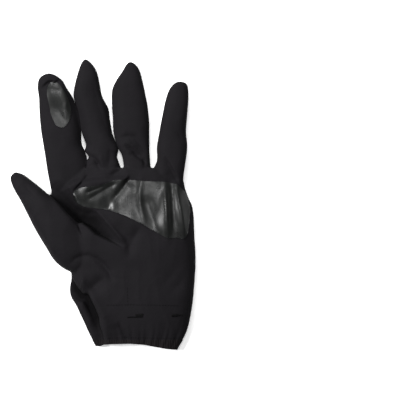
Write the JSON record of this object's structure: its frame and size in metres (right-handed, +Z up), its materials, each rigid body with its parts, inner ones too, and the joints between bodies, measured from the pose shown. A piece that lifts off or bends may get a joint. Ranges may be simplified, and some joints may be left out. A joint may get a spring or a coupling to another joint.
{
  "type": "waterproof overglove",
  "caption": "Thin waterproof shell glove for the left hand, lying palm up, with an elastic cuff, a bonded grip film across the palm and one on the index fingertip.",
  "frame": {"origin": "on the surface that the glove lies on, under the middle of its outline", "axes": "+Z up, out of the palm; +Y towards the fingertips; the thumb is towards -X"},
  "size_m": [0.1763, 0.2758, 0.0223],
  "materials": {
    "shell_fabric": "matt black coated nylon, fine plain weave",
    "hem_elastic": "matt black nylon folded over an elastic",
    "bonded_film": "glossy black polyurethane film with a fine grain"
  },
  "bodies": {
    "root": {"palm_panel": "shell_fabric", "back_panel": "shell_fabric", "thumb": "shell_fabric", "index_finger": "shell_fabric", "middle_finger": "shell_fabric", "ring_finger": "shell_fabric", "little_finger": "shell_fabric", "elastic_hem": "hem_elastic", "palm_film": "bonded_film", "fingertip_film": "bonded_film"}
  },
  "joints": []
}
